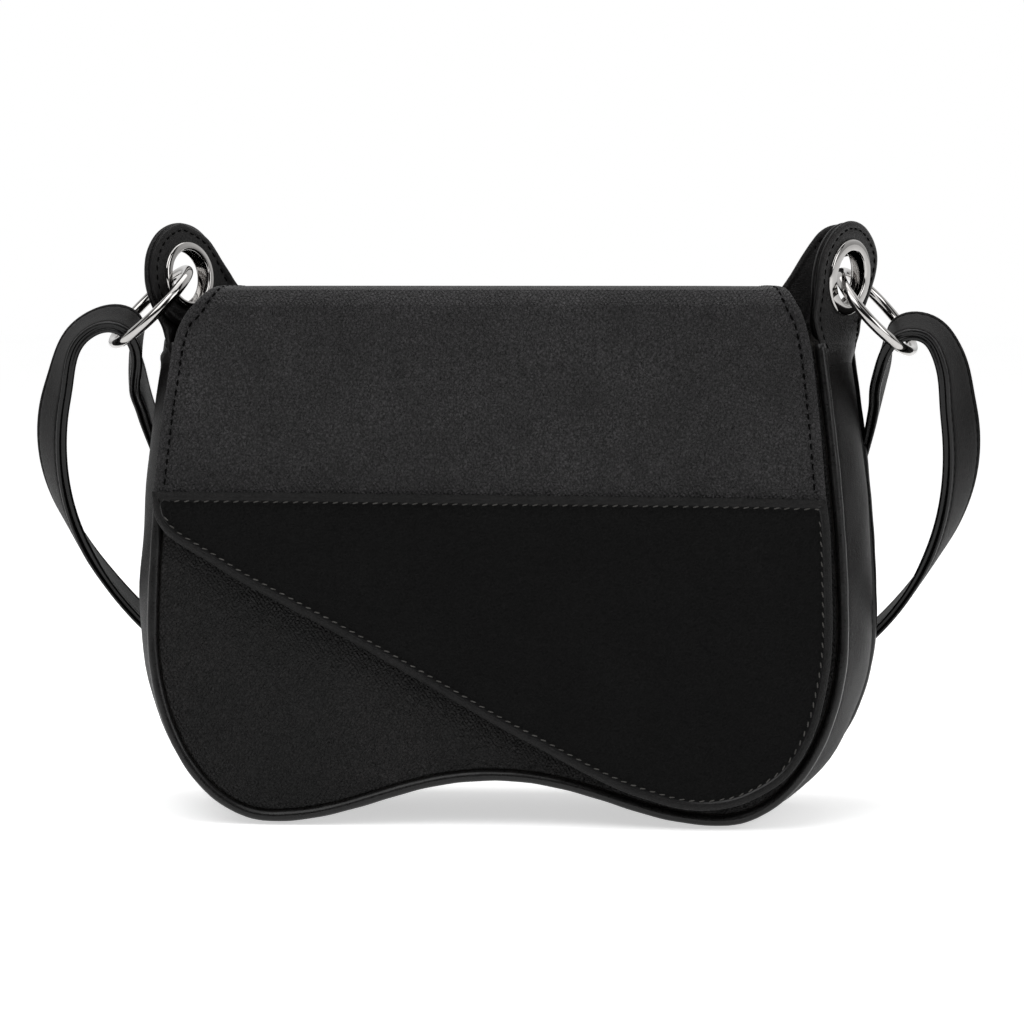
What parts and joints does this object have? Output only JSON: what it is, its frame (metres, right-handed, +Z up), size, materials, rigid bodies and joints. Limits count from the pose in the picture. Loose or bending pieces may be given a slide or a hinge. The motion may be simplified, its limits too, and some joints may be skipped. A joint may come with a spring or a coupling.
{
  "type": "saddle handbag",
  "caption": "Saddle-shaped leather handbag with a hinged asymmetric flap, strap ears with eyelets and rings, and a flat shoulder strap that swings.",
  "frame": {"origin": "middle of the base, on the floor that the two lobes stand on, halfway between the flap's foot and the strap's back edge", "axes": "+X to the right along the bag's width, +Y to its back, +Z up; the flap faces -Y"},
  "size_m": [0.3542, 0.1017, 0.2179],
  "materials": {
    "front_leather": "smooth, satin",
    "body_leather": "smooth, satin",
    "gusset_leather": "smooth, satin",
    "piping_leather": "smooth, semi-gloss",
    "board": "matt fibreboard",
    "lining_cloth": "matt weave",
    "accent_leather": "smooth, satin",
    "flap_leather": "fine-grained, low sheen",
    "strap_leather": "smooth, satin",
    "polished_metal": "mirror polished",
    "snap_metal": "satin"
  },
  "bodies": {
    "bag": {"front_panel": "front_leather", "back_panel": "body_leather", "gusset": "gusset_leather", "front_piping": "piping_leather", "back_piping": "piping_leather", "front_stiffener": "board", "back_stiffener": "board", "lining": "lining_cloth", "inner_pocket": "lining_cloth", "mouth_binding": "accent_leather", "left_ear_outer": "gusset_leather", "left_ear_inner": "gusset_leather", "right_ear_outer": "gusset_leather", "right_ear_inner": "gusset_leather", "left_eyelet": "polished_metal", "right_eyelet": "polished_metal", "left_eyelet_washer": "polished_metal", "right_eyelet_washer": "polished_metal", "snap_socket": "snap_metal", "snap_socket_washer": "snap_metal"},
    "flap": {"flap_upper": "flap_leather", "flap_accent": "accent_leather", "flap_lining": "lining_cloth", "flap_stiffener": "board", "snap_stud": "snap_metal", "snap_stud_washer": "snap_metal"},
    "left_ring": {"left_ring": "polished_metal"},
    "right_ring": {"right_ring": "polished_metal"},
    "strap": {"strap_outer": "strap_leather", "strap_inner": "strap_leather", "strap_rivets": "polished_metal"}
  },
  "joints": [
    {"name": "flap_hinge", "type": "hinge", "parent": "bag", "child": "flap", "pos_m": [0, 0.0141, 0.19], "axis": [-1, 0, 0], "range_deg": [0, 140]},
    {"name": "strap_swing", "type": "hinge", "parent": "bag", "child": "strap", "pos_m": [0, -0.0092, 0.1994], "axis": [1, 0, 0], "range_deg": [0, 10]},
    {"name": "left_ring_swing", "type": "hinge", "parent": "bag", "child": "left_ring", "pos_m": [0, -0.0092, 0.1994], "axis": [1, 0, 0], "range_deg": [0, 10]},
    {"name": "right_ring_swing", "type": "hinge", "parent": "bag", "child": "right_ring", "pos_m": [0, -0.0092, 0.1994], "axis": [1, 0, 0], "range_deg": [0, 10]}
  ],
  "couplings": [
    {"joint": "left_ring_swing", "follows": "strap_swing", "ratio": 1},
    {"joint": "right_ring_swing", "follows": "strap_swing", "ratio": 1}
  ]
}
